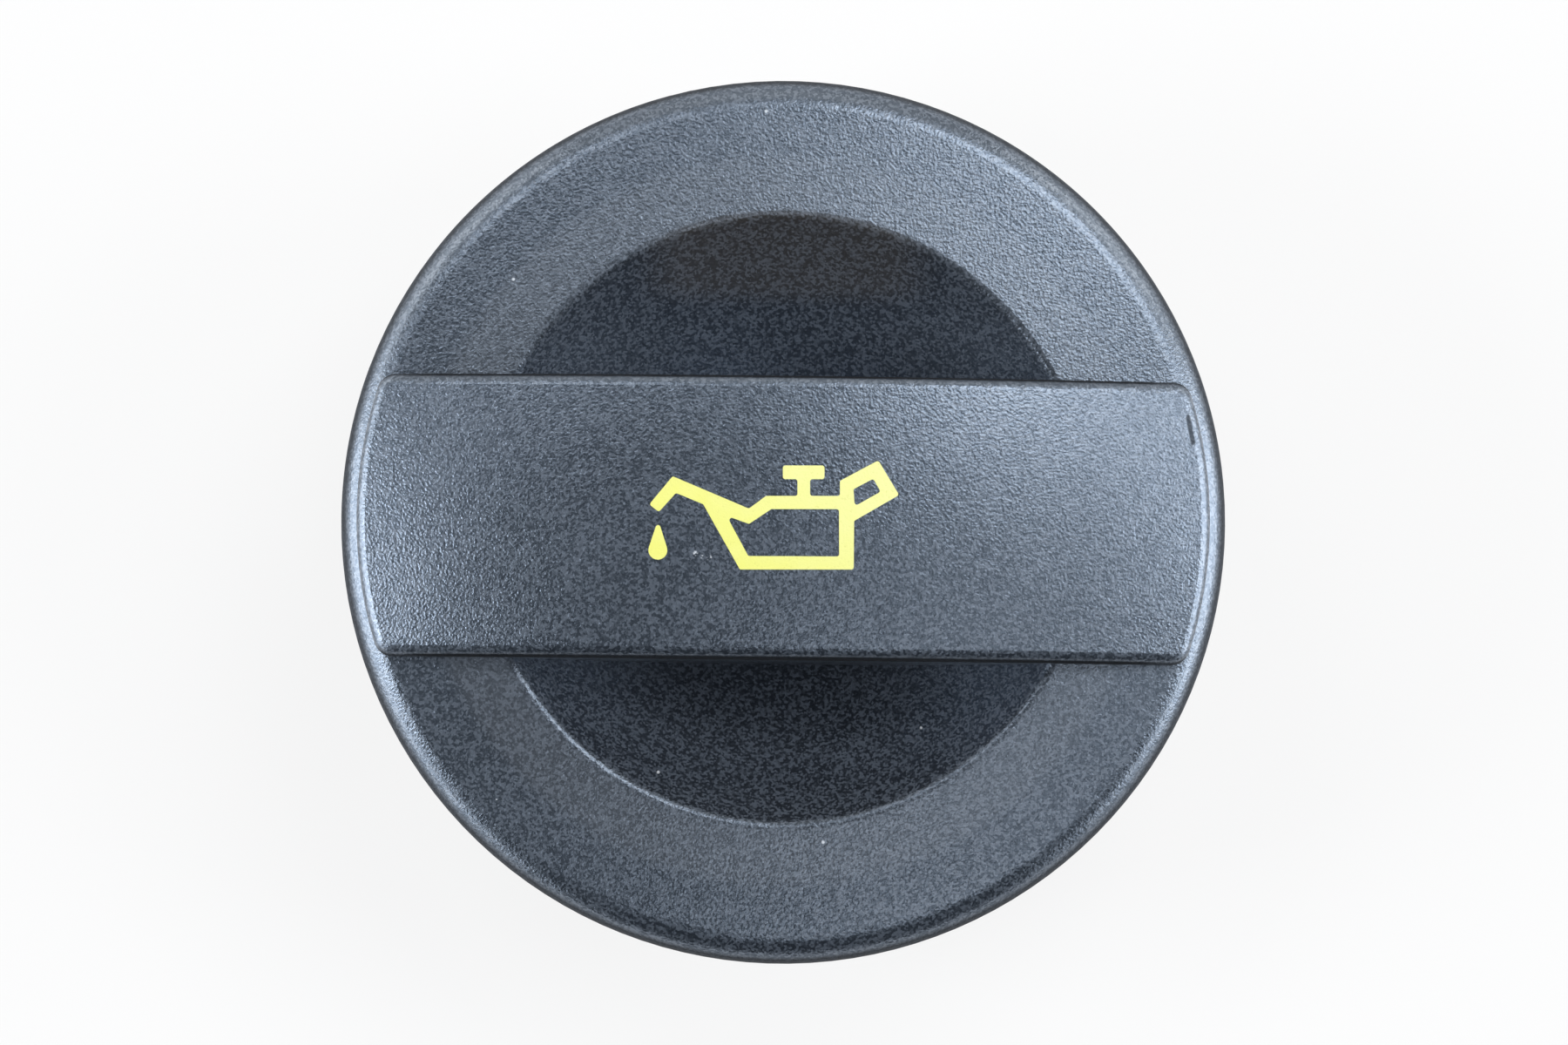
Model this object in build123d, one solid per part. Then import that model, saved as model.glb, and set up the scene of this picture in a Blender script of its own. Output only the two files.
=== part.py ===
from build123d import *
import os
from math import radians, sqrt, tan

# Oil filler cap of a car engine: a hollow grip head, a bayonet plug snapped into it and a seal ring.
# Millimetres and degrees. The cap's axis is Z, the plug's foot stands on Z = 0 and the grip bar lies along X.

# Head: skirt and domed ring
HEAD_DIAMETER = 66.0
WALL = 2.2
SKIRT_DROP = 2.0
SKIRT_DRAFT = 1.0
SKIRT_EDGE = 0.5
SHOULDER_RADIUS = 2.4
RING_CROWN_RADIUS = 320.0

# Head: finger scoop, a round bowl on either side of the bar
SCOOP_DIAMETER = 44.8
SCOOP_DEPTH = 10.4
SCOOP_EDGE = 0.8
FOOT_SINK = 0.2

# Head: grip bar
BAR_WIDTH = 21.2
BAR_END_INSET = 1.4
BAR_CORNER = 1.6
BAR_RISE = 4.8
BAR_CROWN_RADIUS = 115.0
BAR_EDGE = 0.9
BAR_DRAFT = 1.0
BAR_HOLLOW_CORNER = 0.6
BAR_RIB_SPACING = 20.0

# Head: socket that takes the plug
SOCKET_WALL = 1.8
SOCKET_LIP = 1.8
LEDGE_WIDTH = 1.2
FLANGE_CLEARANCE = 0.15
RIB_COUNT = 12
RIB_THICKNESS = 1.2
RIB_SETBACK = 3.0
BEAD_COUNT = 6
BEAD_ANGLE = 22.0
BEAD_REACH = 0.6
BEAD_CLEARANCE = 0.1
KEY_COUNT = 3
KEY_WIDTH = 5.0
KEY_REACH = 1.3
KEY_CLEARANCE = 0.15

# Plug: flange and hollow neck
FLANGE_THICKNESS = 3.2
FLANGE_EDGE = 0.4
NECK_DIAMETER = 33.2
NECK_WALL = 2.2
NECK_LENGTH = 16.0
NECK_ROOT = 0.8
NOSE_STEP = 0.6
NOSE_LENGTH = 3.0
NOSE_CHAMFER = 0.6
WEB_COUNT = 3
WEB_THICKNESS = 1.6
WEB_DEPTH = 4.0
BOSS_DIAMETER = 7.0

# Plug: bayonet lugs
LUG_COUNT = 3
LUG_ANGLE = 46.0
LUG_REACH = 2.8
LUG_HEIGHT = 3.6
LUG_RAMP = 1.4
LUG_CHAMFER = 0.7
LUG_CLEAR_OF_NOSE = 0.6
STOP_ANGLE = 7.0
STOP_RISE = 2.4

# Seal ring and its groove
SEAL_WIDTH = 3.6
SEAL_HEIGHT = 2.8
SEAL_CORNER = 0.7
SEAL_CLEARANCE = 0.1
GROOVE_DEPTH = 1.4
GROOVE_LAND = 2.0
GROOVE_LIP = 2.6

# How far a cutting shape runs past the face that it opens
OVERCUT = 1.0

# Radii and heights that follow from the sizes above
head_radius = HEAD_DIAMETER / 2
scoop_radius = SCOOP_DIAMETER / 2
bar_end_radius = head_radius - BAR_END_INSET
neck_radius = NECK_DIAMETER / 2
bore_radius = neck_radius - NECK_WALL
nose_radius = neck_radius - NOSE_STEP
lug_radius = neck_radius + LUG_REACH
groove_inner_radius = neck_radius + GROOVE_LAND
groove_outer_radius = groove_inner_radius + SEAL_WIDTH + 2 * SEAL_CLEARANCE
flange_radius = groove_outer_radius + GROOVE_LIP
socket_radius = flange_radius + FLANGE_CLEARANCE
socket_outer_radius = socket_radius + SOCKET_WALL
ledge_radius = flange_radius - LEDGE_WIDTH

flange_bottom = NECK_LENGTH
flange_top = flange_bottom + FLANGE_THICKNESS
groove_top = flange_bottom + GROOVE_DEPTH
seal_bottom = groove_top - SEAL_HEIGHT
skirt_bottom = flange_bottom - SKIRT_DROP
socket_bottom = flange_bottom - SOCKET_LIP
lug_bottom = NOSE_LENGTH + LUG_CLEAR_OF_NOSE
lug_top = lug_bottom + LUG_HEIGHT

# The scoop is a sphere. Where it meets the bar's wall, the wall's foot stands on the plug's flange.
scoop_sphere = (scoop_radius**2 + SCOOP_DEPTH**2) / (2 * SCOOP_DEPTH)
scoop_under_sphere = scoop_sphere + WALL
bar_hollow_width = BAR_WIDTH - 2 * WALL
scoop_center = flange_top - FOOT_SINK + sqrt(scoop_under_sphere**2 - (bar_hollow_width / 2)**2)
scoop_rim = scoop_center - scoop_sphere + SCOOP_DEPTH
bar_top = scoop_rim + BAR_RISE
skirt_top_radius = head_radius - (scoop_rim - skirt_bottom) * tan(radians(SKIRT_DRAFT))


def ring_height(radius):
    """Height of the domed ring's upper surface at a radius."""
    return scoop_rim + sqrt(RING_CROWN_RADIUS**2 - radius**2) - sqrt(RING_CROWN_RADIUS**2 - scoop_radius**2)


def scoop_height(radius, sphere):
    """Height of the scoop's upper surface, or of its underside, at a radius."""
    return scoop_center - sqrt(sphere**2 - radius**2)


def section(*edges):
    """Closed outline, drawn as radius and height, on the upright plane through the axis."""
    return Plane.XZ * make_face(edges)


def turned(face, angle=360.0):
    """Solid turned about the cap's axis from an upright section."""
    return revolve(face, Axis.Z, angle)


def band(inner, outer, bottom, top):
    """Upright section of a plain ring."""
    return section(Polyline((inner, bottom), (outer, bottom), (outer, top), (inner, top), close=True))


def around(shape, count, start=0.0):
    """Copies of a shape, evenly spaced about the axis."""
    return [Rot(0, 0, start + step * 360.0 / count) * shape for step in range(count)]


def corner_at(face, radius, height):
    """The corner of an upright section that lies nearest to a radius and height."""
    return face.vertices().sort_by_distance((radius, 0, height))[0]


def head_outside():
    """The head's turned outer form: skirt, rounded shoulder, domed ring and scoop, with no hollow."""
    top = ring_height(skirt_top_radius)
    middle = (scoop_radius + skirt_top_radius) / 2
    face = section(
        Polyline(
            (0, scoop_height(0, scoop_sphere)),
            (0, skirt_bottom),
            (head_radius, skirt_bottom),
            (skirt_top_radius, top),
        ),
        ThreePointArc((skirt_top_radius, top), (middle, ring_height(middle)), (scoop_radius, scoop_rim)),
        ThreePointArc(
            (scoop_radius, scoop_rim),
            (scoop_radius / 2, scoop_height(scoop_radius / 2, scoop_sphere)),
            (0, scoop_height(0, scoop_sphere)),
        ),
    )
    face = fillet(corner_at(face, skirt_top_radius, top), SHOULDER_RADIUS)
    face = fillet(corner_at(face, scoop_radius, scoop_rim), SCOOP_EDGE)
    face = fillet(corner_at(face, head_radius, skirt_bottom), SKIRT_EDGE)
    return turned(face)


def head_hollow():
    """The turned hollow under the skirt, the ring and the scoop, one wall inside the outer form."""
    under_rim = scoop_rim - WALL
    meeting_radius = sqrt(scoop_under_sphere**2 - (scoop_center - under_rim)**2)
    skirt_inner_radius = skirt_top_radius - WALL
    skirt_inner_top = ring_height(skirt_inner_radius) - WALL
    middle = (meeting_radius + skirt_inner_radius) / 2
    return turned(section(
        Polyline(
            (0, scoop_height(0, scoop_under_sphere)),
            (0, skirt_bottom - OVERCUT),
            (head_radius - WALL, skirt_bottom - OVERCUT),
            (head_radius - WALL, skirt_bottom),
            (skirt_inner_radius, skirt_inner_top),
        ),
        ThreePointArc(
            (skirt_inner_radius, skirt_inner_top),
            (middle, ring_height(middle) - WALL),
            (meeting_radius, under_rim),
        ),
        ThreePointArc(
            (meeting_radius, under_rim),
            (meeting_radius / 2, scoop_height(meeting_radius / 2, scoop_under_sphere)),
            (0, scoop_height(0, scoop_under_sphere)),
        ),
    ))


def bar_block(inset, corner):
    """The grip bar's crowned block with round ends, set in from the outer faces by an amount."""
    end_radius = bar_end_radius - inset
    outline = Rectangle(2 * end_radius, BAR_WIDTH - 2 * inset) & Circle(end_radius)
    outline = fillet(outline.vertices(), corner)
    block = Pos(0, 0, flange_top) * extrude(outline, bar_top - flange_top, taper=BAR_DRAFT)
    crown = Rot(90, 0, 0) * Sphere(BAR_CROWN_RADIUS - inset)
    return block & Pos(0, 0, bar_top - BAR_CROWN_RADIUS) * crown


def grip_bar():
    """The bar's outer form with its rounded upper edge."""
    block = bar_block(0, BAR_CORNER)
    return fillet(block.faces().sort_by(Axis.Z)[-1].edges(), BAR_EDGE)


def socket_and_ribs():
    """Walls inside the head: socket ring with its ledge, ribs out to the skirt, ribs across the bar."""
    walls = turned(band(socket_radius, socket_outer_radius, socket_bottom, bar_top))
    walls += turned(band(ledge_radius, socket_outer_radius, flange_top, bar_top))
    rib_bottom = skirt_bottom + RIB_SETBACK
    rib_length = head_radius - WALL / 2 - socket_radius
    rib = Pos(socket_radius, 0, rib_bottom) * Box(
        rib_length, RIB_THICKNESS, bar_top - rib_bottom, align=(Align.MIN, Align.CENTER, Align.MIN)
    )
    walls += around(rib, RIB_COUNT, start=180.0 / RIB_COUNT)
    cross_rib = Pos(0, 0, flange_top) * Box(
        RIB_THICKNESS, BAR_WIDTH - WALL, bar_top - flange_top, align=(Align.CENTER, Align.CENTER, Align.MIN)
    )
    walls += [Pos(side * BAR_RIB_SPACING / 2, 0, 0) * cross_rib for side in (-1, 1)]
    return walls


def snap_beads():
    """Short beads on the socket's wall that hold the plug's flange up, with a sloping way in below."""
    bead_top = flange_bottom - BEAD_CLEARANCE
    root_radius = socket_radius + SOCKET_WALL / 2
    bead = turned(section(Polyline(
        (root_radius, bead_top),
        (socket_radius - BEAD_REACH, bead_top),
        (socket_radius, socket_bottom),
        (root_radius, socket_bottom),
        close=True,
    )), BEAD_ANGLE)
    return around(bead, BEAD_COUNT, start=180.0 / BEAD_COUNT - BEAD_ANGLE / 2)


def key_block(gap):
    """Upright key between the socket's wall and the flange, grown by a gap all round."""
    return Pos(socket_radius - KEY_REACH - gap, 0, flange_bottom - gap) * Box(
        KEY_REACH + gap + SOCKET_WALL / 2,
        KEY_WIDTH + 2 * gap,
        FLANGE_THICKNESS + 2 * gap,
        align=(Align.MIN, Align.CENTER, Align.MIN),
    )


def cap_head():
    """The whole head: outer form with its bar, hollowed, then given its socket, ribs, beads and keys."""
    outside = head_outside() + grip_bar()
    pocket_height = flange_top - skirt_bottom + OVERCUT
    pocket = Pos(0, 0, skirt_bottom - OVERCUT) * Cylinder(
        socket_radius, pocket_height, align=(Align.CENTER, Align.CENTER, Align.MIN)
    )
    head = outside - head_hollow() - bar_block(WALL, BAR_HOLLOW_CORNER) - pocket
    head += socket_and_ribs() & outside
    head += snap_beads()
    head += around(key_block(0), KEY_COUNT)
    return head


def plug_body():
    """The plug's turned body: flange with the seal's groove, hollow neck and pilot nose."""
    face = section(Polyline(
        (0, flange_bottom),
        (bore_radius, flange_bottom),
        (bore_radius, 0),
        (nose_radius, 0),
        (nose_radius, NOSE_LENGTH),
        (neck_radius, NOSE_LENGTH),
        (neck_radius, flange_bottom),
        (groove_inner_radius, flange_bottom),
        (groove_inner_radius, groove_top),
        (groove_outer_radius, groove_top),
        (groove_outer_radius, flange_bottom),
        (flange_radius, flange_bottom),
        (flange_radius, flange_top),
        (0, flange_top),
        close=True,
    ))
    face = chamfer(corner_at(face, nose_radius, 0), NOSE_CHAMFER)
    face = fillet(corner_at(face, neck_radius, flange_bottom), NECK_ROOT)
    face = fillet(corner_at(face, bore_radius, flange_bottom), NECK_ROOT)
    face = fillet(corner_at(face, flange_radius, flange_top), FLANGE_EDGE)
    return turned(face)


def bayonet_lug():
    """One lug: a ring sector whose top climbs towards its stop, bevelled below to find its slot."""
    root_radius = neck_radius - NECK_WALL / 2
    face = band(root_radius, lug_radius, lug_bottom, lug_top)
    face = chamfer(corner_at(face, lug_radius, lug_bottom), LUG_CHAMFER)
    lug = turned(face, LUG_ANGLE)
    ramp_run = lug_radius * tan(radians(LUG_ANGLE))
    ramp = Polyline(
        (0, lug_top - LUG_RAMP),
        (ramp_run, lug_top),
        (ramp_run, lug_top + LUG_RAMP),
        (0, lug_top + LUG_RAMP),
        close=True,
    )
    lug -= Pos(lug_radius, 0, 0) * extrude(Plane.YZ * make_face(ramp), lug_radius, both=True)
    stop = turned(band(root_radius, lug_radius, lug_bottom, lug_top + STOP_RISE), STOP_ANGLE)
    return lug + Rot(0, 0, LUG_ANGLE - STOP_ANGLE) * stop


def stiffening_webs():
    """Webs and a round boss under the flange, inside the hollow neck."""
    web_bottom = flange_bottom - WEB_DEPTH
    web_height = WEB_DEPTH + FLANGE_THICKNESS / 2
    web = Pos(0, 0, web_bottom) * Box(
        bore_radius + NECK_WALL / 2, WEB_THICKNESS, web_height, align=(Align.MIN, Align.CENTER, Align.MIN)
    )
    boss = Pos(0, 0, web_bottom) * Cylinder(
        BOSS_DIAMETER / 2, web_height, align=(Align.CENTER, Align.CENTER, Align.MIN)
    )
    return around(web, WEB_COUNT) + [boss]


def bayonet_plug():
    """The whole plug: turned body, lugs, webs and the notches that the head's keys drive."""
    plug = plug_body()
    plug += around(bayonet_lug(), LUG_COUNT)
    plug += stiffening_webs()
    plug -= around(key_block(KEY_CLEARANCE), KEY_COUNT)
    return plug


def seal_ring():
    """The seal: a ring with rounded lower corners that stands out of the flange's groove."""
    inner = groove_inner_radius + SEAL_CLEARANCE
    outer = inner + SEAL_WIDTH
    face = band(inner, outer, seal_bottom, groove_top)
    face = fillet([corner_at(face, inner, seal_bottom), corner_at(face, outer, seal_bottom)], SEAL_CORNER)
    return turned(face)


os.makedirs("parts", exist_ok=True)
export_step(cap_head(), "parts/cap_head.step")
export_step(bayonet_plug(), "parts/bayonet_plug.step")
export_step(seal_ring(), "parts/seal_ring.step")
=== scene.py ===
from math import asin, cos, pi, radians, sin

import bpy
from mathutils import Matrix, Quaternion, Vector


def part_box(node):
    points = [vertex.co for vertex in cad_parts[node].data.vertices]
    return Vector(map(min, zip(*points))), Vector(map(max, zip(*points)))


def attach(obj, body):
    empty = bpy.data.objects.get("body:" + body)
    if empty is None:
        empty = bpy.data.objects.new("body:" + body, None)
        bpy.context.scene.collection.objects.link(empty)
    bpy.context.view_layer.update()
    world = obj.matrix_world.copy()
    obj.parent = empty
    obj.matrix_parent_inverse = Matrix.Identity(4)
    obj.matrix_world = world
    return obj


# Looks of an oil filler cap: grained head, plain plug, rubber seal and a yellow oil can printed on the bar.
# The bar lies along X and the cap's axis is Z. Lengths are in metres, unless a name ends in _MM.
# Angles are in degrees, and colours are linear.

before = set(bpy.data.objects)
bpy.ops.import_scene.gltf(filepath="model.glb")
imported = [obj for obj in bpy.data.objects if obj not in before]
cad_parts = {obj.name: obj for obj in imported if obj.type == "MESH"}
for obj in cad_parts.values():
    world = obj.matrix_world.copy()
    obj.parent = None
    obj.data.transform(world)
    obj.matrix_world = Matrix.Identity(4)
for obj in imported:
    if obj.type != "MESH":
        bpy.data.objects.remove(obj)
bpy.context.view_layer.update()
MM = 0.001
WHITE = (1.0, 1.0, 1.0, 1.0)

# The photograph's view: nearly straight down, from a little in front, and turned slightly clockwise
VIEW_TARGET = Vector((0.00006, -0.00016, 0.0285))
VIEW_DISTANCE = 0.40
VIEW_ELEVATION = 87.6
VIEW_TURN = 0.66
IMAGE_WIDTH_PIXELS = 1800
PIXELS_PER_METRE = 15531
SENSOR_WIDTH_MM = 36.0
NEAR_CLIP = 0.01

# The print: an oil can in outline, drawn about the cap's axis
PRINT_TURN = 0.66
PRINT_PLACE_MM = (0.0, 0.09)
PRINT_RISE_MM = 0.02
PRINT_SINK_MM = 0.03
PRINT_CORNER_MM = 0.18
PRINT_CORNER_STEPS = 4
PRINT_DETAIL = 3
PRINT_WELD = 1e-7
BAR_CROWN_RADIUS_MM = 115.0
SPOUT_TIP_MM = [(-9.05, 0.25), (-9.75, 0.80)]
SPOUT_TOP_MM = [(-8.05, 2.85), (-2.50, 0.48), (-1.25, 1.40)]
KNOB_MM = [(1.03, 1.40), (1.03, 2.62), (-0.03, 2.62), (-0.03, 3.62)]
KNOB_MM += [(3.00, 3.62), (3.00, 2.62), (1.95, 2.62), (1.95, 1.40)]
HANDLE_MM = [(4.12, 1.40), (4.12, 2.50), (6.92, 4.00), (8.43, 1.48), (5.15, -0.42)]
CAN_BASE_MM = [(5.12, -3.95), (-3.15, -3.95)]
SPOUT_UNDER_MM = [(-5.82, 0.80), (-7.80, 1.63)]
CAN_WINDOW_MM = [(-4.12, -0.04), (-2.49, -0.64), (-0.87, 0.44), (4.05, 0.44), (4.06, -3.00), (-2.54, -2.97)]
HANDLE_WINDOW_MM = [(5.10, 1.89), (6.55, 2.66), (7.08, 1.72), (5.20, 0.65)]
DROP_TIP_MM = (-9.10, -0.30)
DROP_CENTRE_MM = (-9.12, -2.53)
DROP_RADIUS_MM = 0.69
DROP_STEPS = 18

# Zones of the head's finish: each pair runs from where a zone begins to where it is full.
# A facing is the upward part of the surface's normal: 1 on a level face and 0 on an upright one.
UPWARD_FACING = (0.3, 0.7)
STEEP_FACING = (0.76, 0.46)
# The bar's flanks, where the nylon is darkened as painted shade
SHADED_FLANK_FACING = (0.90, 0.60)
SHADED_FLANK_HEIGHT_MM = (30.9, 31.3)
SCOOP_REACH_MM = (23.1, 22.5)
SCOOP_HEIGHT_MM = (31.5, 31.1)
RING_REACH_MM = (22.4, 23.2)
RING_HEIGHT_MM = (31.2, 30.9)
BAR_END_MM = (28.8, 29.6)
BAR_END_HALF_WIDTH_MM = (10.3, 9.3)
BAR_END_HEIGHT_MM = (29.6, 30.0)

# The head's nylon
GRAIN_MM = 0.20
GRAIN_DEPTH_MM = 0.040
FLECK_MM = 0.18
FLECK_CONTRAST = (0.32, 0.82)
FLECK_SHARE = 0.85
BLOOM_MM = 7.0
NYLON_BLACK = (0.003, 0.004, 0.006, 1.0)
NYLON_GREY = (0.069, 0.082, 0.103, 1.0)
SIDE_CALM = 0.75
SIDE_SHADE = 0.36
# How far the bar's flanks are darkened: painted shade
FLANK_PAINTED_SHADE = 0.9
SCOOP_DULLNESS = 0.35
SATIN_ROUGHNESS = 0.27
SATIN_BLOOM_ROUGHNESS = 0.05
SATIN_TINT = (0.66, 0.80, 1.0, 1.0)
COAT_LEAST = 0.1
COAT_ON_FLECKS = 0.9
DULL_EXTRA_ROUGHNESS = 0.4

# Wear that shows in the photograph. Specks and scuffs have a place seen from above, then a radius.
DUST_SPECKS_MM = [
    ((-1.6, 30.2), 0.16),
    ((-20.1, 17.5), 0.15),
    ((-9.0, -18.7), 0.15),
    ((3.2, -23.7), 0.16),
    ((10.4, -15.2), 0.13),
]
SPECK_STRENGTH = 0.8
SCUFFS_MM = [((-6.35, -2.75), 0.22), ((-5.85, -3.0), 0.16), ((-5.35, -3.05), 0.24)]
SCUFF_GRAIN = (0.42, 0.55)
SCUFF_STRENGTH = 0.9
SPOT_CORE = 0.5
DUST_CELL_MM = 2.6
DUST_CHANCE = (0.80, 1.0)
DUST_SHARE_OF_CELL = 0.032
DUST_CORE = 0.4
DUST_STRENGTH = 0.6
DUST_ROUGHNESS = 0.4
DUST_GREY = (0.60, 0.62, 0.65, 1.0)
# A dent on the bar: a groove in the relief, painted black, partly as a mark and partly as painted shade in
# the groove
DENT_MM = ((29.66, 7.80), (30.02, 5.95))
DENT_WIDTH_MM = 0.26
DENT_CORE = 0.3
DENT_MARK_AND_SHADE_STRENGTH = 0.85
DENT_DULLNESS = 0.6
DENT_ROUGHNESS = 0.3
DENT_MARK_AND_SHADE_BLACK = (0.006, 0.007, 0.009, 1.0)
# The ring's inner part, painted a little paler
PALER_RING_REACH_MM = (27.6, 26.2)
PALER_RING_STRENGTH = 0.1
PALER_RING_GREY = (0.24, 0.25, 0.265, 1.0)
# A warm brown patch painted on the scoop's upper back wall: a painted reflection of light
PAINTED_REFLECTION_BACK_MM = (15.8, 17.8)
PAINTED_REFLECTION_HALF_WIDTH_MM = (12.0, 7.0)
PAINTED_REFLECTION_STRENGTH = 0.1
PAINTED_REFLECTION_BROWN = (0.22, 0.17, 0.11, 1.0)
RUBBED_SHINE = 0.9

# The plug's plainer nylon
PLUG_BLOOM_MM = 5.0
PLUG_FINE_MM = 0.35
PLUG_FINE_SHARE = 0.6
PLUG_RELIEF_MM = 0.012
TOOL_LINES_PER_MM = 6.0
TOOL_LINE_LEAN = 0.7
PLUG_ROUGHNESS = 0.34
PLUG_BLOOM_ROUGHNESS = 0.12
PLUG_BLACK = (0.020, 0.021, 0.023, 1.0)
PLUG_GREY = (0.030, 0.031, 0.033, 1.0)

# The seal's rubber
RUBBER_BLOOM_MM = 2.5
RUBBER_FINE_MM = 0.18
RUBBER_RELIEF_MM = 0.010
RUBBER_ROUGHNESS = 0.62
RUBBER_BLOOM_ROUGHNESS = 0.2
RUBBER_BLACK = (0.014, 0.014, 0.015, 1.0)
RUBBER_GREY = (0.024, 0.024, 0.025, 1.0)

# The print's ink
INK_GRAIN_MM = 0.21
INK_BLOOM_MM = 1.6
INK_RELIEF_MM = 0.010
# The ink paler towards the upper right: a painted sheen, mixed with a random mottle
INK_PAINTED_SHEEN_MM = (-11.0, 9.0)
INK_PAINTED_SHEEN_SHARE = 0.6
INK_PITS = (0.36, 0.28)
INK_PIT_STRENGTH = 0.3
INK_ROUGHNESS = 0.48
INK_BLOOM_ROUGHNESS = 0.1
INK_YELLOW = (0.80, 0.80, 0.16, 1.0)
INK_PALE_MOTTLE_AND_SHEEN = (0.84, 0.84, 0.375, 1.0)
INK_PIT_YELLOW = (0.63, 0.62, 0.16, 1.0)

# Studio lamps: name, angle round from +X, angle from straight up, width, height, power in watts, colour.
# The last one shines up through the floor's opening into the plug's hollow.
LAMP_DISTANCE = 0.9
COOL_WHITE = (0.96, 0.98, 1.0)
WARM_WHITE = (1.0, 0.97, 0.92)
LAMPS = [
    ("back_right_softbox", 52, 33, 0.42, 0.42, 2.75, COOL_WHITE),
    ("right_softbox", 4, 52, 0.36, 0.36, 2.5, COOL_WHITE),
    ("left_softbox", 186, 52, 0.36, 0.36, 3.2, COOL_WHITE),
    ("right_wall", 0, 78, 0.70, 0.40, 3.8, COOL_WHITE),
    ("left_wall", 180, 78, 0.70, 0.40, 3.6, COOL_WHITE),
    ("back_wall", 92, 68, 0.60, 0.50, 1.0, WARM_WHITE),
    ("back_right_wall", 45, 74, 0.50, 0.40, 1.6, WARM_WHITE),
    ("back_left_wall", 138, 74, 0.50, 0.40, 1.5, WARM_WHITE),
    ("left_front_wall", 215, 76, 0.40, 0.30, 1.15, COOL_WHITE),
    ("right_front_wall", 330, 72, 0.40, 0.30, 0.85, COOL_WHITE),
    ("right_front_softbox", 345, 25, 0.20, 0.20, 0.13, COOL_WHITE),
    ("back_left_softbox", 125, 36, 0.25, 0.25, 0.87, COOL_WHITE),
    ("front_overhead", 290, 20, 0.20, 0.20, 0.38, COOL_WHITE),
    ("under_fill", 0, 180, 1.60, 1.60, 40.0, COOL_WHITE),
]

# Sky and floor
SKY_STRENGTH = 0.04
SKY_COLOUR = (0.75, 0.88, 1.0, 1.0)
FLOOR_COLOUR = (0.8, 0.8, 0.8, 1.0)
FLOOR_WHITENESS = 0.80
FLOOR_RADIUS = 2.0
FLOOR_OPENING_RADIUS = 0.014
FLOOR_SIDES = 64


class Field:
    """A value on a node's output. Arithmetic on it adds Math nodes to its tree."""

    def __init__(self, tree, socket):
        self.tree = tree
        self.socket = socket

    def maths(self, operation, *values):
        return self.tree.node("ShaderNodeMath", {"operation": operation}, dict(enumerate(values)))

    def __add__(self, other):
        return self.maths("ADD", self, other)

    def __radd__(self, other):
        return self.maths("ADD", other, self)

    def __sub__(self, other):
        return self.maths("SUBTRACT", self, other)

    def __rsub__(self, other):
        return self.maths("SUBTRACT", other, self)

    def __mul__(self, other):
        return self.maths("MULTIPLY", self, other)

    def __rmul__(self, other):
        return self.maths("MULTIPLY", other, self)

    def root(self):
        return self.maths("SQRT", self)

    def unsigned(self):
        return self.maths("ABSOLUTE", self)

    def larger(self, other):
        return self.maths("MAXIMUM", self, other)

    def smaller(self, other):
        return self.maths("MINIMUM", self, other)


class Tree:
    """A node tree with one way to add any node: its type, its settings, and its sockets' values or links."""

    def __init__(self, node_tree):
        self.node_tree = node_tree

    def node(self, kind, settings=None, sockets=None, output=0):
        made = self.node_tree.nodes.new(kind)
        for name, value in (settings or {}).items():
            setattr(made, name, value)
        for name, value in (sockets or {}).items():
            if isinstance(value, list):
                for part in value:
                    self.node_tree.links.new(part.socket, made.inputs[name])
            elif isinstance(value, Field):
                self.node_tree.links.new(value.socket, made.inputs[name])
            else:
                made.inputs[name].default_value = value
        return Field(self, made.outputs[output]) if made.outputs else None

    def parts(self, vector):
        """The three numbers of a vector."""
        split = self.node("ShaderNodeSeparateXYZ", sockets={0: vector}).socket.node
        return [Field(self, socket) for socket in split.outputs]

    def step(self, value, low, high, start=0.0, end=1.0):
        """A soft step from start at low to end at high."""
        settings = {"interpolation_type": "SMOOTHSTEP"}
        return self.node("ShaderNodeMapRange", settings, {0: value, 1: low, 2: high, 3: start, 4: end})


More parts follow.
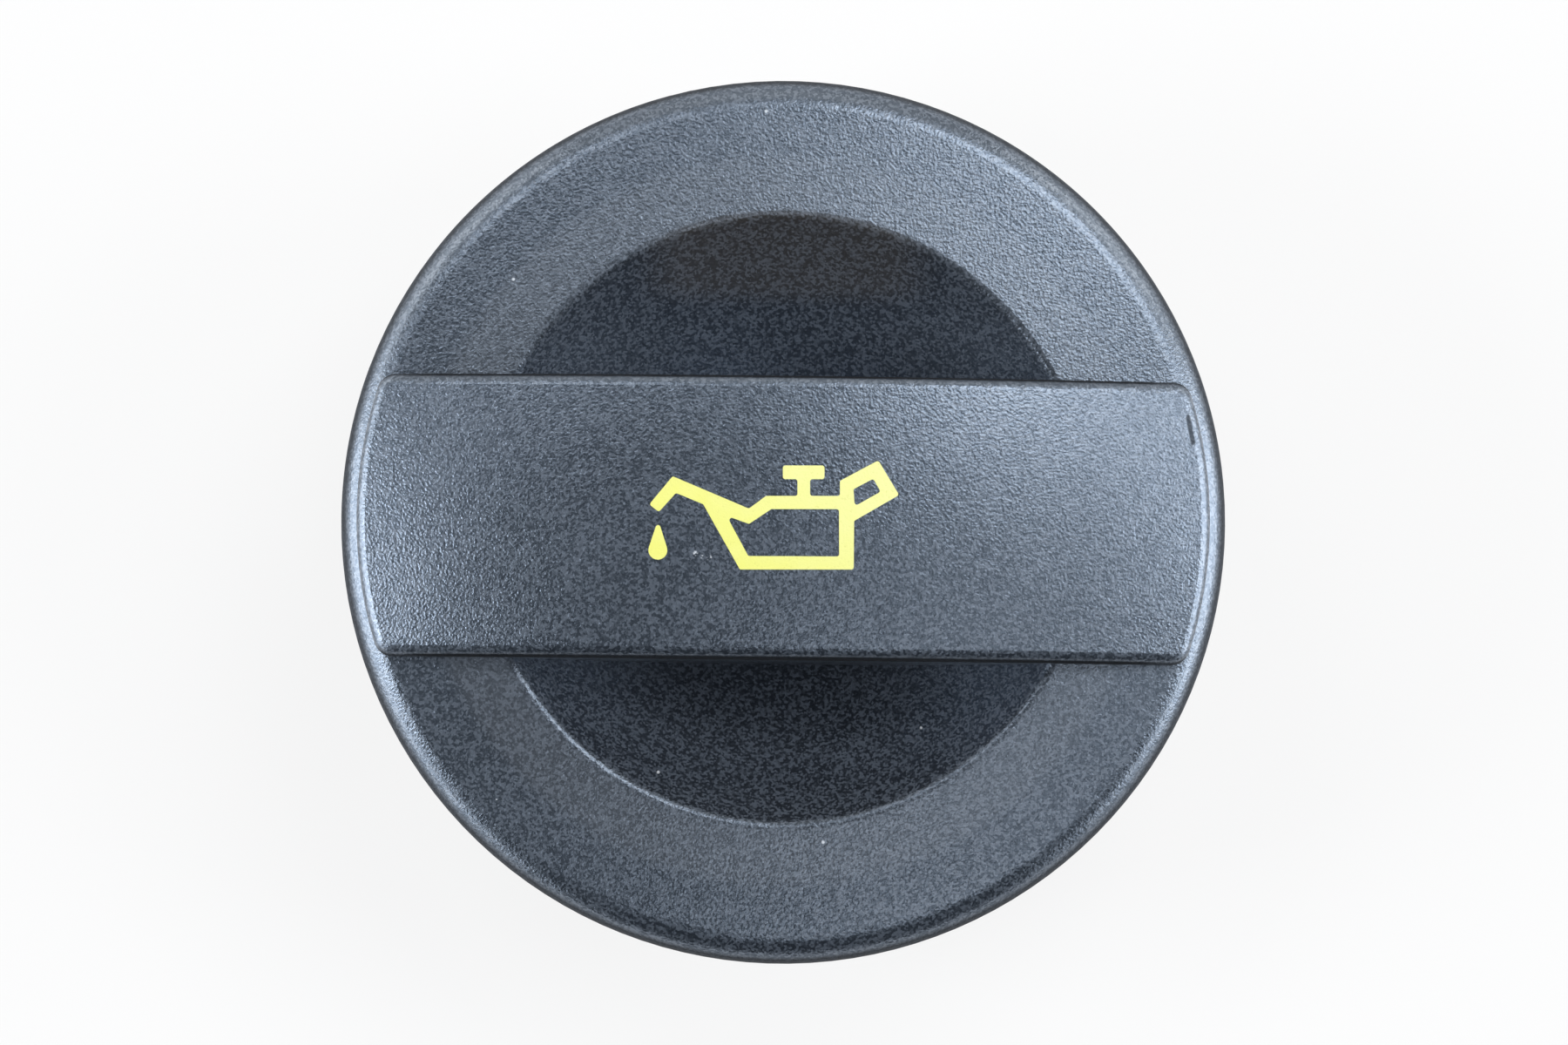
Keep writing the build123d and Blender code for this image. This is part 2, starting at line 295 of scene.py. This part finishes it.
class Finish(Tree):
    """A material under way, with patterns measured in millimetres on the piece itself."""

    def __init__(self, name):
        self.material = bpy.data.materials.new(name)
        self.material.use_nodes = True
        super().__init__(self.material.node_tree)
        self.node_tree.nodes.clear()

    def place_mm(self):
        """Place on the piece, in millimetres."""
        place = self.node("ShaderNodeTexCoord", output="Object")
        return self.node("ShaderNodeVectorMath", {"operation": "SCALE"}, {0: place, "Scale": 1 / MM})

    def cloud(self, place, size, detail=2.0, roughness=0.5):
        """Soft noise from 0 to 1 whose patches are about a size across."""
        sockets = {"Vector": place, "Scale": 1 / size, "Detail": detail, "Roughness": roughness}
        return self.node("ShaderNodeTexNoise", sockets=sockets)

    def blend(self, amount, first, second):
        """A colour between two colours."""
        settings = {"data_type": "RGBA"}
        return self.node("ShaderNodeMix", settings, {0: amount, 6: first, 7: second}, output=2)

    def flecks(self, place, size):
        """Small cells of about a size: the distance from each cell's middle, and each cell's own chance."""
        cells = self.node("ShaderNodeTexVoronoi", sockets={"Vector": place, "Scale": 1 / size})
        chance = Field(self, cells.socket.node.outputs["Color"])
        return cells, self.parts(chance)[0]

    def bump(self, height, depth):
        """A normal from a height of 0 to 1 that stands for a depth in metres."""
        return self.node("ShaderNodeBump", sockets={"Height": height, "Strength": 1.0, "Distance": depth})

    def gloss(self, **sockets):
        """A Principled shader with these sockets, named in lower case with underscores."""
        names = {"ior": "IOR", "specular_ior_level": "Specular IOR Level"}
        named = {names.get(key, key.replace("_", " ").title()): value for key, value in sockets.items()}
        return self.node("ShaderNodeBsdfPrincipled", sockets=named)

    def mixed(self, amount, first, second):
        """A surface between two shaders."""
        return self.node("ShaderNodeMixShader", sockets={0: amount, 1: first, 2: second})

    def ended(self, shader):
        """The material, ended in a shader."""
        self.node("ShaderNodeOutputMaterial", sockets={"Surface": shader})
        return self.material


def placed(name, data):
    """A new object in the scene."""
    made = bpy.data.objects.new(name, data)
    bpy.context.scene.collection.objects.link(made)
    return made


def spot(tree, x, y, centre, radius):
    """A round soft-edged mask seen from above."""
    across = x - centre[0]
    along = y - centre[1]
    distance = (across * across + along * along).root()
    return tree.step(distance, radius, radius * SPOT_CORE)


def stroke(tree, x, y, start, end, width):
    """A straight soft-edged stroke seen from above."""
    run = Vector(end) - Vector(start)
    length = run.length
    run /= length
    along = (x - start[0]) * run.x + (y - start[1]) * run.y
    nearest = along.larger(0.0).smaller(length)
    off_x = x - start[0] - nearest * run.x
    off_y = y - start[1] - nearest * run.y
    distance = (off_x * off_x + off_y * off_y).root()
    return tree.step(distance, width, width * DENT_CORE)


def head_dust(finish, place, x, y, grain):
    """Loose dust in a few cells, the specks of the photograph, and scuffs where the grain stands high."""
    cells, chance = finish.flecks(place, DUST_CELL_MM)
    reach = finish.step(chance, *DUST_CHANCE, 0.0, DUST_SHARE_OF_CELL)
    dust = finish.step(cells, reach, reach * DUST_CORE) * DUST_STRENGTH
    for centre, radius in DUST_SPECKS_MM:
        dust = dust.larger(spot(finish, x, y, centre, radius) * SPECK_STRENGTH)
    high_grain = finish.step(grain, *SCUFF_GRAIN)
    for centre, radius in SCUFFS_MM:
        dust = dust.larger(spot(finish, x, y, centre, radius) * high_grain * SCUFF_STRENGTH)
    return dust


def grained_head():
    """Head: grained black nylon, satin on top, duller in the scoop and on steep sides, with a little wear,
    painted shade on the bar's flanks and a painted warm reflection in the scoop.
    """
    finish = Finish("grained_black_nylon")
    place = finish.place_mm()
    x, y, z = finish.parts(place)
    radius = (x * x + y * y).root()
    facing = finish.parts(finish.node("ShaderNodeNewGeometry", output="Normal"))[2]

    # Zones, with the bar's end edges rubbed shinier than other steep sides
    upward = finish.step(facing, *UPWARD_FACING)
    scoop = finish.step(radius, *SCOOP_REACH_MM) * finish.step(z, *SCOOP_HEIGHT_MM)
    ring = finish.step(radius, *RING_REACH_MM) * finish.step(z, *RING_HEIGHT_MM)
    rubbed = finish.step(x.unsigned(), *BAR_END_MM) * finish.step(y.unsigned(), *BAR_END_HALF_WIDTH_MM)
    rubbed = rubbed * finish.step(z, *BAR_END_HEIGHT_MM)
    steep = finish.step(facing, *STEEP_FACING) * (1 - scoop) * (1 - rubbed * RUBBED_SHINE)
    # Painted shade: the bar's steep flanks, darkened in colour below
    painted_shade_flank = finish.step(facing, *SHADED_FLANK_FACING) * (1 - rubbed) * finish.step(z, *SHADED_FLANK_HEIGHT_MM)

    # The nylon's own colour, with calmer flecks on steep sides, and the bar's flanks darkened as painted
    # shade
    grain = finish.cloud(place, GRAIN_MM, detail=1.0)
    bloom = finish.cloud(place, BLOOM_MM, detail=3.0)
    _, chance = finish.flecks(place, FLECK_MM)
    fleck = finish.step(chance, *FLECK_CONTRAST)
    calm = steep * SIDE_CALM
    shade = (fleck * FLECK_SHARE + bloom * (1 - FLECK_SHARE)) * (1 - calm) + calm * SIDE_SHADE
    tone = finish.blend(shade * (1 - painted_shade_flank * FLANK_PAINTED_SHADE), NYLON_BLACK, NYLON_GREY)

    # A paler inner part of the ring, a painted warm reflection on the scoop's back wall, dust, and the dent
    # with painted shade in it
    # The ring's inner part is painted a little paler
    paler_inner_ring = ring * finish.step(radius, *PALER_RING_REACH_MM)
    tone = finish.blend(paler_inner_ring * PALER_RING_STRENGTH, tone, PALER_RING_GREY)
    # Painted reflection: warm light painted on the upper back wall of the scoop
    painted_reflection = scoop * finish.step(y, *PAINTED_REFLECTION_BACK_MM) * finish.step(x.unsigned(), *PAINTED_REFLECTION_HALF_WIDTH_MM)
    tone = finish.blend(painted_reflection * PAINTED_REFLECTION_STRENGTH, tone, PAINTED_REFLECTION_BROWN)
    dust = head_dust(finish, place, x, y, grain) * upward
    tone = finish.blend(dust, tone, DUST_GREY)
    # The dent's black colour is partly a mark and partly painted shade in its groove
    dent = stroke(finish, x, y, *DENT_MM, DENT_WIDTH_MM) * upward
    tone = finish.blend(dent * DENT_MARK_AND_SHADE_STRENGTH, tone, DENT_MARK_AND_SHADE_BLACK)

    # Sheen and relief
    sheen = SATIN_ROUGHNESS + bloom * SATIN_BLOOM_ROUGHNESS + dust * DUST_ROUGHNESS + dent * DENT_ROUGHNESS
    relief = finish.bump(grain - dent, GRAIN_DEPTH_MM * MM)
    satin = finish.gloss(
        base_color=tone, roughness=sheen, normal=relief,
        coat_weight=COAT_LEAST + fleck * COAT_ON_FLECKS, coat_roughness=0.30,
        ior=1.92, specular_ior_level=1.0, specular_tint=SATIN_TINT,
    )
    dull = finish.gloss(
        base_color=tone, roughness=sheen + DULL_EXTRA_ROUGHNESS, normal=relief,
        ior=1.45, specular_ior_level=0.3,
    )
    dullness = (steep + scoop * SCOOP_DULLNESS).larger(dent * DENT_DULLNESS)
    return finish.ended(finish.mixed(dullness, satin, dull))


def plain_plug():
    """Plug: black nylon from a plain mould, with faint turned tool lines."""
    finish = Finish("plain_black_nylon")
    place = finish.place_mm()
    x, y, z = finish.parts(place)
    radius = (x * x + y * y).root()
    bloom = finish.cloud(place, PLUG_BLOOM_MM, detail=3.0)
    fine = finish.cloud(place, PLUG_FINE_MM)
    turned = finish.node("ShaderNodeTexNoise", {"noise_dimensions": "1D"}, {
        "W": radius + z * TOOL_LINE_LEAN, "Scale": TOOL_LINES_PER_MM,
    })
    tone = finish.blend(bloom, PLUG_BLACK, PLUG_GREY)
    relief = finish.bump(fine * PLUG_FINE_SHARE + turned * (1 - PLUG_FINE_SHARE), PLUG_RELIEF_MM * MM)
    sheen = PLUG_ROUGHNESS + bloom * PLUG_BLOOM_ROUGHNESS
    return finish.ended(finish.gloss(base_color=tone, roughness=sheen, normal=relief, specular_ior_level=0.6))


def seal_rubber():
    """Seal: matte black rubber with a fine powdery bloom."""
    finish = Finish("seal_rubber")
    place = finish.place_mm()
    bloom = finish.cloud(place, RUBBER_BLOOM_MM, detail=4.0)
    fine = finish.cloud(place, RUBBER_FINE_MM)
    tone = finish.blend(bloom, RUBBER_BLACK, RUBBER_GREY)
    relief = finish.bump(fine, RUBBER_RELIEF_MM * MM)
    sheen = RUBBER_ROUGHNESS + bloom * RUBBER_BLOOM_ROUGHNESS
    return finish.ended(finish.gloss(base_color=tone, roughness=sheen, normal=relief, specular_ior_level=0.4))


def yellow_ink():
    """Print: lemon yellow ink, mottled, with a painted sheen that makes it paler to the upper right, and the
    grain below it showing a little.
    """
    finish = Finish("yellow_ink")
    place = finish.place_mm()
    x, y, _ = finish.parts(place)
    grain = finish.cloud(place, INK_GRAIN_MM, detail=1.5, roughness=0.55)
    bloom = finish.cloud(place, INK_BLOOM_MM, detail=3.0)
    # A painted sheen makes the ink paler towards the upper right, mixed with a random mottle
    mottle_and_painted_sheen = finish.step(x + y, *INK_PAINTED_SHEEN_MM) * INK_PAINTED_SHEEN_SHARE + bloom * (1 - INK_PAINTED_SHEEN_SHARE)
    tone = finish.blend(mottle_and_painted_sheen, INK_YELLOW, INK_PALE_MOTTLE_AND_SHEEN)
    tone = finish.blend(finish.step(grain, *INK_PITS) * INK_PIT_STRENGTH, tone, INK_PIT_YELLOW)
    relief = finish.bump(grain, INK_RELIEF_MM * MM)
    sheen = INK_ROUGHNESS + bloom * INK_BLOOM_ROUGHNESS
    return finish.ended(finish.gloss(base_color=tone, roughness=sheen, normal=relief, specular_ior_level=0.4))


def drop_outline():
    """The falling drop: straight sides from its tip to a round end."""
    reach = (Vector(DROP_TIP_MM) - Vector(DROP_CENTRE_MM)).length
    side = asin(DROP_RADIUS_MM / reach)
    turns = [side - (pi + 2 * side) * step / DROP_STEPS for step in range(DROP_STEPS + 1)]
    x, y = DROP_CENTRE_MM
    return [DROP_TIP_MM] + [(x + DROP_RADIUS_MM * cos(t), y + DROP_RADIUS_MM * sin(t)) for t in turns]


def print_tree():
    """Geometry nodes that round an outline, fill it, thicken it and lay it on the bar's crown."""
    group = bpy.data.node_groups.new("print_on_crown", "GeometryNodeTree")
    kinds = {"Outline": "NodeSocketGeometry"}
    for name in ("Corner", "Rise", "Sink", "Crown radius", "Crown top"):
        kinds[name] = "NodeSocketFloat"
    kinds["Ink"] = "NodeSocketMaterial"
    sockets = {}
    for name, kind in kinds.items():
        sockets[name] = group.interface.new_socket(name, in_out="INPUT", socket_type=kind)
    group.interface.new_socket("Print", in_out="OUTPUT", socket_type="NodeSocketGeometry")
    tree = Tree(group)
    given = tree.node("NodeGroupInput").socket.node
    value = {name: Field(tree, given.outputs[name]) for name in sockets}

    outline = tree.node("GeometryNodeMeshToCurve", sockets={0: value["Outline"]})
    outline = tree.node("GeometryNodeFilletCurve", {"mode": "POLY"}, {
        "Curve": outline, "Radius": value["Corner"], "Limit Radius": True, "Count": PRINT_CORNER_STEPS,
    })
    flat = tree.node("GeometryNodeFillCurve", {"mode": "TRIANGLES"}, {"Curve": outline})
    flat = tree.node("GeometryNodeSubdivideMesh", sockets={"Mesh": flat, "Level": PRINT_DETAIL})
    upper = tree.node("GeometryNodeExtrudeMesh", {"mode": "FACES"}, {
        "Mesh": flat, "Offset Scale": value["Rise"] + value["Sink"], "Individual": False,
    })
    lower = tree.node("GeometryNodeFlipFaces", sockets={0: flat})
    whole = tree.node("GeometryNodeJoinGeometry", sockets={0: [lower, upper]})
    whole = tree.node("GeometryNodeMergeByDistance", sockets={"Geometry": whole, "Distance": PRINT_WELD})
    x, y, z = tree.parts(tree.node("GeometryNodeInputPosition"))
    radius = value["Crown radius"]
    crown = value["Crown top"] - radius + (radius * radius - x * x - y * y).root()
    place = tree.node("ShaderNodeCombineXYZ", sockets={0: x, 1: y, 2: z + crown - value["Sink"]})
    whole = tree.node("GeometryNodeSetPosition", sockets={"Geometry": whole, "Position": place})
    whole = tree.node("GeometryNodeRealizeInstances", sockets={0: whole})
    whole = tree.node("GeometryNodeSetMaterial", sockets={"Geometry": whole, "Material": value["Ink"]})
    tree.node("NodeGroupOutput", sockets={0: whole})
    return group, {name: socket.identifier for name, socket in sockets.items()}


def oil_can_print(ink):
    """The yellow oil can, a thin layer of ink on the bar."""
    can = SPOUT_TIP_MM + SPOUT_TOP_MM + KNOB_MM + HANDLE_MM + CAN_BASE_MM + SPOUT_UNDER_MM
    turn = Quaternion((0, 0, 1), radians(PRINT_TURN))
    place = Vector(PRINT_PLACE_MM).to_3d()
    points = []
    edges = []
    for loop in (can, CAN_WINDOW_MM, HANDLE_WINDOW_MM, drop_outline()):
        first = len(points)
        count = len(loop)
        points += [(turn @ Vector((px, py, 0)) + place) * MM for px, py in loop]
        edges += [(first + step, first + (step + 1) % count) for step in range(count)]
    mesh = bpy.data.meshes.new("oil_can_outline")
    mesh.from_pydata(points, edges, [])
    drawn = placed("oil_can_outline", mesh)
    group, sockets = print_tree()
    modifier = drawn.modifiers.new("print_on_crown", "NODES")
    modifier.node_group = group
    modifier[sockets["Corner"]] = PRINT_CORNER_MM * MM
    modifier[sockets["Rise"]] = PRINT_RISE_MM * MM
    modifier[sockets["Sink"]] = PRINT_SINK_MM * MM
    modifier[sockets["Crown radius"]] = BAR_CROWN_RADIUS_MM * MM
    modifier[sockets["Crown top"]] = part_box("cap_head")[1].z
    modifier[sockets["Ink"]] = ink
    made = bpy.data.meshes.new_from_object(drawn.evaluated_get(bpy.context.evaluated_depsgraph_get()))
    bpy.data.objects.remove(drawn)
    made.name = "oil_can_print"
    piece = placed("oil_can_print", made)
    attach(piece, "root")


def pale_floor():
    """A plain white floor that keeps a faint shadow.

    Seen from below it is clear, and it is open under the plug's hollow, so that the plug shows from there.
    """
    finish = Finish("white_floor")
    matte = finish.node("ShaderNodeBsdfDiffuse", sockets={"Color": FLOOR_COLOUR})
    white = finish.node("ShaderNodeEmission", sockets={"Color": WHITE, "Strength": 1.0})
    rays = finish.node("ShaderNodeLightPath", output="Is Camera Ray")
    mirrored = Field(finish, rays.socket.node.outputs["Is Glossy Ray"])
    through = Field(finish, rays.socket.node.outputs["Is Transmission Ray"])
    seen = rays.larger(mirrored).larger(through)
    pale = finish.mixed(seen * FLOOR_WHITENESS, matte, white)
    clear = finish.node("ShaderNodeBsdfTransparent")
    below = finish.node("ShaderNodeNewGeometry", output="Backfacing")
    finish.ended(finish.mixed(below, pale, clear))
    turns = [2 * pi * step / FLOOR_SIDES for step in range(FLOOR_SIDES)]
    points = [(r * cos(t), r * sin(t), 0) for r in (FLOOR_OPENING_RADIUS, FLOOR_RADIUS) for t in turns]
    faces = []
    for step in range(FLOOR_SIDES):
        onward = (step + 1) % FLOOR_SIDES
        faces.append((step, step + FLOOR_SIDES, onward + FLOOR_SIDES, onward))
    mesh = bpy.data.meshes.new("floor")
    mesh.from_pydata(points, [], faces)
    mesh.materials.append(finish.material)
    floor = placed("floor", mesh)


def studio_light():
    """Soft lamps round the cap, and a faint sky that looks white."""
    for name, azimuth, zenith, width, height, power, tint in LAMPS:
        light = bpy.data.lights.new(name, "AREA")
        light.shape = "RECTANGLE"
        light.size = width
        light.size_y = height
        light.energy = power
        light.color = tint
        lamp = placed(name, light)
        around = radians(azimuth)
        down = radians(zenith)
        toward = Vector((sin(down) * cos(around), sin(down) * sin(around), cos(down)))
        lamp.location = VIEW_TARGET + LAMP_DISTANCE * toward
        lamp.rotation_euler = toward.to_track_quat("Z", "Y").to_euler()
    world = bpy.data.worlds.new("studio")
    world.use_nodes = True
    world.node_tree.nodes.clear()
    sky = Tree(world.node_tree)
    faint = sky.node("ShaderNodeBackground", sockets={"Color": SKY_COLOUR, "Strength": SKY_STRENGTH})
    white = sky.node("ShaderNodeBackground", sockets={"Color": WHITE, "Strength": 1.0})
    seen = sky.node("ShaderNodeLightPath", output="Is Camera Ray")
    both = sky.node("ShaderNodeMixShader", sockets={0: seen, 1: faint, 2: white})
    sky.node("ShaderNodeOutputWorld", sockets={"Surface": both})
    bpy.context.scene.world = world


def photo_camera():
    """The camera at the photograph's viewing angle."""
    data = bpy.data.cameras.new("photo_camera")
    data.sensor_width = SENSOR_WIDTH_MM
    data.lens = PIXELS_PER_METRE * VIEW_DISTANCE * SENSOR_WIDTH_MM / IMAGE_WIDTH_PIXELS
    data.clip_start = NEAR_CLIP
    camera = placed("photo_camera", data)
    tilt = radians(VIEW_ELEVATION)
    camera.location = VIEW_TARGET + VIEW_DISTANCE * Vector((0, -cos(tilt), sin(tilt)))
    look = (VIEW_TARGET - camera.location).to_track_quat("-Z", "Y")
    camera.rotation_mode = "QUATERNION"
    camera.rotation_quaternion = look @ Quaternion((0, 0, 1), radians(VIEW_TURN))
    bpy.context.scene.camera = camera


FINISHES = {"cap_head": grained_head(), "bayonet_plug": plain_plug(), "seal_ring": seal_rubber()}
for node_name, node_finish in FINISHES.items():
    for material_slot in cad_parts[node_name].material_slots:
        material_slot.material = node_finish
oil_can_print(yellow_ink())
pale_floor()
studio_light()
photo_camera()
bpy.context.scene.view_settings.view_transform = "Standard"
